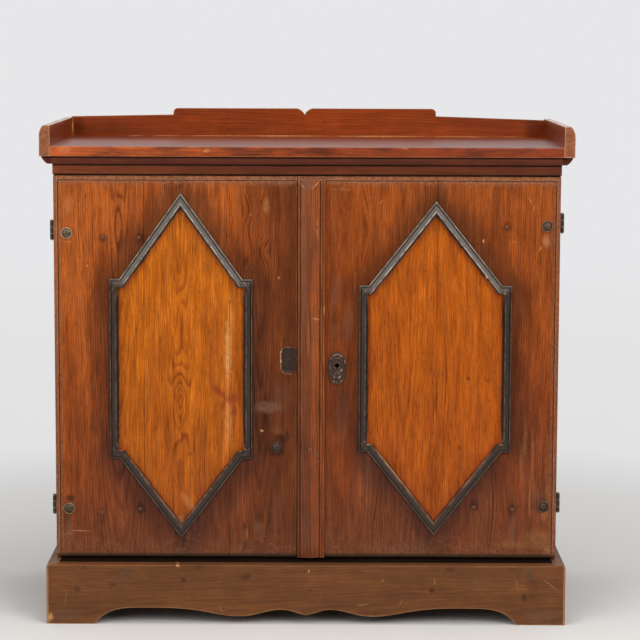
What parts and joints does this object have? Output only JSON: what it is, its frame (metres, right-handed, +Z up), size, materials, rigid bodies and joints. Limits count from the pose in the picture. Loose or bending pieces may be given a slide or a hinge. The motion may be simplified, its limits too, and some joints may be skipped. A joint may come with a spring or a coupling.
{
  "type": "jelly cupboard",
  "caption": "Low two-door pine cupboard with shelves and a galleried tray top, on a scalloped plinth; each door has a long black-moulded hexagon.",
  "frame": {"origin": "on the floor, under the middle of the overall box", "axes": "+X to the right of someone facing the doors, +Y towards the back, +Z up; the doors face -Y"},
  "size_m": [1.1002, 0.495, 1.0565],
  "materials": {
    "door_pine": "worn reddish-brown varnish over pine",
    "case_pine": "worn red-brown varnish over pine",
    "plinth_pine": "flat brown stain over pine",
    "bare_pine": "bare aged pine",
    "black_moulding": "worn black paint",
    "wrought_iron": "dark forged iron with a worn sheen"
  },
  "bodies": {
    "carcase": {"back_board_1": "bare_pine", "back_board_2": "bare_pine", "back_board_3": "bare_pine", "back_board_4": "bare_pine", "back_board_5": "bare_pine", "button_catch": "wrought_iron", "carcase_bottom": "bare_pine", "carcase_side_left": "case_pine", "carcase_side_right": "case_pine", "carcase_top_rail": "case_pine", "cornice_front": "case_pine", "cornice_left": "case_pine", "cornice_right": "case_pine", "frieze_rail": "case_pine", "gallery_back": "case_pine", "gallery_left": "case_pine", "gallery_right": "case_pine", "hinge_pins": "wrought_iron", "left_hinge_leaves": "wrought_iron", "lower_shelf": "bare_pine", "lower_shelf_cleats": "bare_pine", "plinth_back_rail": "bare_pine", "plinth_bearers": "bare_pine", "plinth_corner_blocks": "bare_pine", "plinth_front": "plinth_pine", "plinth_ledge": "plinth_pine", "plinth_side_left": "plinth_pine", "plinth_side_right": "plinth_pine", "right_hinge_leaves": "wrought_iron", "top_board_front": "case_pine", "top_board_rear": "case_pine", "upper_shelf": "bare_pine", "upper_shelf_cleats": "bare_pine"},
    "left_door": {"button_pivot": "wrought_iron", "keeper_plate": "wrought_iron", "left_door_battens": "bare_pine", "left_door_board_1": "door_pine", "left_door_board_2": "door_pine", "left_door_board_3": "door_pine", "left_door_nails": "wrought_iron", "left_door_rivets": "wrought_iron", "left_door_straps": "wrought_iron", "left_field_diagonals": "black_moulding", "left_field_uprights": "black_moulding", "lock_keeper": "wrought_iron"},
    "right_door": {"closing_strip": "door_pine", "escutcheon": "wrought_iron", "lock_case": "wrought_iron", "right_door_battens": "bare_pine", "right_door_board_1": "door_pine", "right_door_board_2": "door_pine", "right_door_nails": "wrought_iron", "right_door_rivets": "wrought_iron", "right_door_straps": "wrought_iron", "right_field_diagonals": "black_moulding", "right_field_uprights": "black_moulding", "strip_nails": "wrought_iron"},
    "lock_bolt": {"lock_bolt": "wrought_iron"},
    "door_button": {"turn_button": "wrought_iron"}
  },
  "joints": [
    {"name": "right_door_hinge", "type": "hinge", "parent": "carcase", "child": "right_door", "pos_m": [0.5295, -0.1683, 0.536], "axis": [0, 0, 1], "range_deg": [0, 180]},
    {"name": "left_door_hinge", "type": "hinge", "parent": "carcase", "child": "left_door", "pos_m": [-0.5295, -0.1683, 0.524], "axis": [0, 0, -1], "range_deg": [0, 180]},
    {"name": "lock_bolt_slide", "type": "slide", "parent": "right_door", "child": "lock_bolt", "axis": [-1, 0, 0], "range_m": [0, 0.016]},
    {"name": "door_button_pivot", "type": "hinge", "parent": "left_door", "child": "door_button", "pos_m": [-0.062, -0.1615, 0.365], "axis": [0, 1, 0], "range_deg": [0, 90]}
  ]
}
